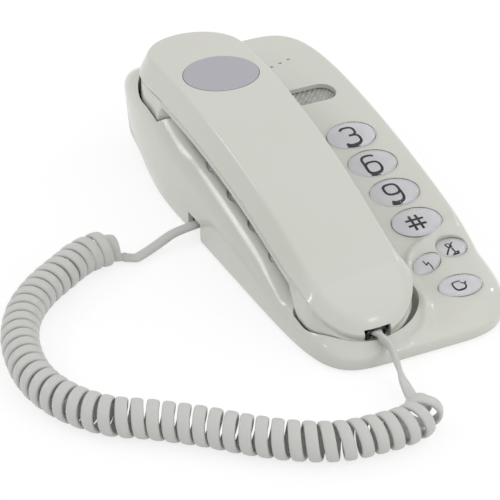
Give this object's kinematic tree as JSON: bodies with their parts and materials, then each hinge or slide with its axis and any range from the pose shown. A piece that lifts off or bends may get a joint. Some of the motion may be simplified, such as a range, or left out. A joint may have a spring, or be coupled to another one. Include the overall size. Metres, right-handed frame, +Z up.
{
  "type": "slimline wall phone",
  "caption": "Slim corded wall telephone lying on its back: sloping base with clear domed push keys, handset in its cradle and a flat curly cord.",
  "frame": {"origin": "centre of the base's underside, at the bottom of its feet, without the cord", "axes": "+Z up from the table, out of the keypad; +Y towards the earpiece end; +X to the right of the keypad"},
  "size_m": [0.1948, 0.2515, 0.0542],
  "materials": {
    "shell": "gloss",
    "cover": "fine texture",
    "rubber": "matt",
    "steel": "bright",
    "clear_cap": "clear, polished",
    "insert": "silver-lilac print",
    "mat": "matt",
    "board": "solder mask",
    "switch": "matt",
    "ringer": "plain",
    "lens": "smoked, ribbed inside",
    "socket": "moulded",
    "plug": "clear",
    "cord": "satin",
    "badge": "satin silver-lilac",
    "receiver": "matt",
    "microphone": "plain",
    "weight": "rough"
  },
  "bodies": {
    "base": {"base_top_shell": "shell", "base_back_cover": "cover", "base_feet": "rubber", "base_screws": "steel", "keypad_mat": "mat", "function_mat": "mat", "main_board": "board", "function_board": "board", "hook_spring": "steel", "hook_switch": "switch", "ringer_disc": "ringer", "lamp_lens": "lens", "base_cord_jack": "socket", "line_jack": "socket", "cord_plug_base": "plug", "cord_lead_base": "cord", "cord_coil": "cord"},
    "handset": {"handset_outer_shell": "shell", "handset_inner_shell": "shell", "badge_plate": "badge", "receiver": "receiver", "microphone": "microphone", "handset_weight": "weight", "handset_jack": "socket", "handset_screws": "steel", "cord_lead_handset": "cord", "cord_plug_handset": "plug"},
    "hook": {"hook_plunger": "shell"},
    "switch_knob": {"ringer_switch": "switch"},
    "button_1": {"key_1": "clear_cap", "label_1": "insert"},
    "button_2": {"key_2": "clear_cap", "label_2": "insert"},
    "button_3": {"key_3": "clear_cap", "label_3": "insert"},
    "button_4": {"key_4": "clear_cap", "label_4": "insert"},
    "button_5": {"key_5": "clear_cap", "label_5": "insert"},
    "button_6": {"key_6": "clear_cap", "label_6": "insert"},
    "button_7": {"key_7": "clear_cap", "label_7": "insert"},
    "button_8": {"key_8": "clear_cap", "label_8": "insert"},
    "button_9": {"key_9": "clear_cap", "label_9": "insert"},
    "button_star": {"key_star": "clear_cap", "label_star": "insert"},
    "button_0": {"key_0": "clear_cap", "label_0": "insert"},
    "button_hash": {"key_hash": "clear_cap", "label_hash": "insert"},
    "button_flash": {"key_flash": "clear_cap", "label_flash": "insert"},
    "button_mute": {"key_mute": "clear_cap", "label_mute": "insert"},
    "button_redial": {"key_redial": "clear_cap", "label_redial": "insert"}
  },
  "joints": [
    {"name": "handset_lift", "type": "slide", "parent": "base", "child": "handset", "axis": [0, 0, 1], "range_m": [0, 0.08]},
    {"name": "hook_rise", "type": "slide", "parent": "base", "child": "hook", "axis": [0, 0, 1], "range_m": [0, 0.004], "deforming": ["hook_spring"]},
    {"name": "ringer_volume", "type": "slide", "parent": "base", "child": "switch_knob", "axis": [0, 1, 0], "range_m": [-0.001, 0.001]},
    {"name": "press_1", "type": "slide", "parent": "base", "child": "button_1", "axis": [0, 0.1817, -0.9833], "range_m": [0, 0.0015], "stiffness_N_per_m": 300},
    {"name": "press_2", "type": "slide", "parent": "base", "child": "button_2", "axis": [0, 0.1817, -0.9833], "range_m": [0, 0.0015], "stiffness_N_per_m": 300},
    {"name": "press_3", "type": "slide", "parent": "base", "child": "button_3", "axis": [0, 0.1817, -0.9833], "range_m": [0, 0.0015], "stiffness_N_per_m": 300},
    {"name": "press_4", "type": "slide", "parent": "base", "child": "button_4", "axis": [0, 0.1817, -0.9833], "range_m": [0, 0.0015], "stiffness_N_per_m": 300},
    {"name": "press_5", "type": "slide", "parent": "base", "child": "button_5", "axis": [0, 0.1817, -0.9833], "range_m": [0, 0.0015], "stiffness_N_per_m": 300},
    {"name": "press_6", "type": "slide", "parent": "base", "child": "button_6", "axis": [0, 0.1817, -0.9833], "range_m": [0, 0.0015], "stiffness_N_per_m": 300},
    {"name": "press_7", "type": "slide", "parent": "base", "child": "button_7", "axis": [0, 0.1817, -0.9833], "range_m": [0, 0.0015], "stiffness_N_per_m": 300},
    {"name": "press_8", "type": "slide", "parent": "base", "child": "button_8", "axis": [0, 0.1817, -0.9833], "range_m": [0, 0.0015], "stiffness_N_per_m": 300},
    {"name": "press_9", "type": "slide", "parent": "base", "child": "button_9", "axis": [0, 0.1817, -0.9833], "range_m": [0, 0.0015], "stiffness_N_per_m": 300},
    {"name": "press_star", "type": "slide", "parent": "base", "child": "button_star", "axis": [0, 0.1817, -0.9833], "range_m": [0, 0.0015], "stiffness_N_per_m": 300},
    {"name": "press_0", "type": "slide", "parent": "base", "child": "button_0", "axis": [0, 0.1817, -0.9833], "range_m": [0, 0.0015], "stiffness_N_per_m": 300},
    {"name": "press_hash", "type": "slide", "parent": "base", "child": "button_hash", "axis": [0, 0.1817, -0.9833], "range_m": [0, 0.0015], "stiffness_N_per_m": 300},
    {"name": "press_flash", "type": "slide", "parent": "base", "child": "button_flash", "axis": [0, 0, -1], "range_m": [0, 0.0015], "stiffness_N_per_m": 300},
    {"name": "press_mute", "type": "slide", "parent": "base", "child": "button_mute", "axis": [0, 0, -1], "range_m": [0, 0.0015], "stiffness_N_per_m": 300},
    {"name": "press_redial", "type": "slide", "parent": "base", "child": "button_redial", "axis": [0, 0, -1], "range_m": [0, 0.0015], "stiffness_N_per_m": 300}
  ],
  "couplings": [
    {"joint": "hook_rise", "follows": "handset_lift", "ratio": 0.05}
  ]
}
